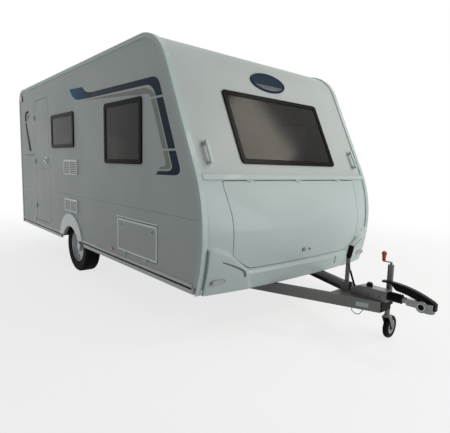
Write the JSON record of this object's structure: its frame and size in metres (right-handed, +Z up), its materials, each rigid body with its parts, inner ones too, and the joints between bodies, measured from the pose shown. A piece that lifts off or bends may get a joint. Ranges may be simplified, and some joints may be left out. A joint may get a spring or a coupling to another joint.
{
  "type": "touring caravan",
  "caption": "Single-axle touring caravan with a sloping windowed front, bowed locker lid, entry door, A-frame drawbar, ball coupling and jockey wheel.",
  "frame": {"origin": "on the ground, in the middle of the overall length and width", "axes": "+X to the hitch, +Y to the left, +Z up"},
  "size_m": [6.15, 2.35, 2.5178],
  "materials": {
    "white_panel": "gloss",
    "white_plastic": "gloss",
    "floor_board": "matt",
    "galvanised": "satin",
    "dark_steel": "satin",
    "tyre": "matt",
    "silver_rim": "satin",
    "black_frame": "gloss",
    "tinted_pane": "gloss",
    "skirt": "satin",
    "dark_plastic": "satin",
    "grey_plastic": "satin",
    "blue_plaque": "gloss",
    "red_lens": "gloss",
    "amber_lens": "gloss",
    "clear_lens": "gloss",
    "roof_dome": "satin",
    "cast_steel": "satin",
    "cabinet_wood": "satin",
    "upholstery": "matt"
  },
  "bodies": {
    "caravan": {"floor": "floor_board", "chassis_rails": "galvanised", "cross_members": "galvanised", "drawbar": "galvanised", "axle_tube": "galvanised", "trailing_arms": "dark_steel", "wall_right": "white_panel", "wall_left": "white_panel", "roof_panel": "white_panel", "front_panel": "white_panel", "rear_wall": "white_panel", "front_moulding": "white_plastic", "locker_bulkhead": "white_plastic", "window_frames": "black_frame", "window_panes": "tinted_pane", "awning_rails": "white_plastic", "side_skirts": "skirt", "arch_trims": "white_plastic", "wheel_boxes": "dark_plastic", "hinge_blocks": "white_plastic", "fridge_vents": "white_plastic", "grab_handles": "grey_plastic", "front_plaque": "blue_plaque", "front_rail": "white_plastic", "rear_bumper": "white_plastic", "red_lamps": "red_lens", "amber_lamps": "amber_lens", "white_lamps": "clear_lens", "rooflights": "roof_dome", "overrun_housing": "galvanised", "bellows": "dark_plastic", "coupling_head": "cast_steel", "coupling_handle": "dark_plastic", "handbrake_lever": "galvanised", "handbrake_grip": "dark_plastic", "jockey_clamp": "dark_plastic", "plug_holder": "dark_plastic", "jockey_tube": "galvanised", "steady_brackets": "galvanised", "cabin_furniture": "cabinet_wood", "seat_cushions": "upholstery", "table": "cabinet_wood"},
    "wheel_left": {"tyre_left": "tyre", "rim_left": "silver_rim"},
    "wheel_right": {"tyre_right": "tyre", "rim_right": "silver_rim"},
    "entry_door": {"entry_door": "white_panel", "door_handle": "grey_plastic"},
    "front_lid": {"front_lid": "white_plastic"},
    "side_hatch": {"side_hatch": "white_panel"},
    "cassette_door": {"cassette_door": "white_panel"},
    "jockey_leg": {"jockey_leg": "galvanised"},
    "jockey_fork": {"jockey_fork": "galvanised"},
    "jockey_wheel": {"jockey_wheel": "tyre"},
    "steady_rear_left": {"steady_rear_left": "galvanised"},
    "steady_rear_right": {"steady_rear_right": "galvanised"},
    "steady_front_left": {"steady_front_left": "galvanised"},
    "steady_front_right": {"steady_front_right": "galvanised"}
  },
  "joints": [
    {"name": "wheel_left_spin", "type": "hinge", "parent": "caravan", "child": "wheel_left", "pos_m": [-0.865, 1, 0.315], "axis": [0, 1, 0], "continuous": true},
    {"name": "wheel_right_spin", "type": "hinge", "parent": "caravan", "child": "wheel_right", "pos_m": [-0.865, -1, 0.315], "axis": [0, 1, 0], "continuous": true},
    {"name": "entry_door_hinge", "type": "hinge", "parent": "caravan", "child": "entry_door", "pos_m": [-2.222, -1.159, 1.35], "axis": [0, 0, -1], "range_deg": [0, 160]},
    {"name": "front_lid_hinge", "type": "hinge", "parent": "caravan", "child": "front_lid", "pos_m": [1.75666, 0, 1.261], "axis": [0, -1, 0], "range_deg": [0, 75]},
    {"name": "side_hatch_hinge", "type": "hinge", "parent": "caravan", "child": "side_hatch", "pos_m": [0.81, -1.159, 0.511], "axis": [1, 0, 0], "range_deg": [0, 110]},
    {"name": "cassette_door_hinge", "type": "hinge", "parent": "caravan", "child": "cassette_door", "pos_m": [-2.475, 1.159, 0.511], "axis": [-1, 0, 0], "range_deg": [0, 110]},
    {"name": "jockey_wind", "type": "slide", "parent": "caravan", "child": "jockey_leg", "axis": [0, 0, 1], "range_m": [0, 0.065]},
    {"name": "jockey_swivel", "type": "hinge", "parent": "jockey_leg", "child": "jockey_fork", "pos_m": [2.655, 0.121, 0.15], "axis": [0, 0, 1], "continuous": true},
    {"name": "jockey_wheel_spin", "type": "hinge", "parent": "jockey_fork", "child": "jockey_wheel", "pos_m": [2.65026, 0.18883, 0.095], "axis": [-0.9976, -0.0698, 0], "continuous": true},
    {"name": "steady_rear_left_swing", "type": "hinge", "parent": "caravan", "child": "steady_rear_left", "pos_m": [-2.315, 0.8, 0.345], "axis": [0, -1, 0], "range_deg": [0, 38]},
    {"name": "steady_rear_right_swing", "type": "hinge", "parent": "caravan", "child": "steady_rear_right", "pos_m": [-2.315, -0.8, 0.345], "axis": [0, -1, 0], "range_deg": [0, 38]},
    {"name": "steady_front_left_swing", "type": "hinge", "parent": "caravan", "child": "steady_front_left", "pos_m": [0.955, 0.8, 0.345], "axis": [0, 1, 0], "range_deg": [0, 38]},
    {"name": "steady_front_right_swing", "type": "hinge", "parent": "caravan", "child": "steady_front_right", "pos_m": [0.955, -0.8, 0.345], "axis": [0, 1, 0], "range_deg": [0, 38]}
  ]
}
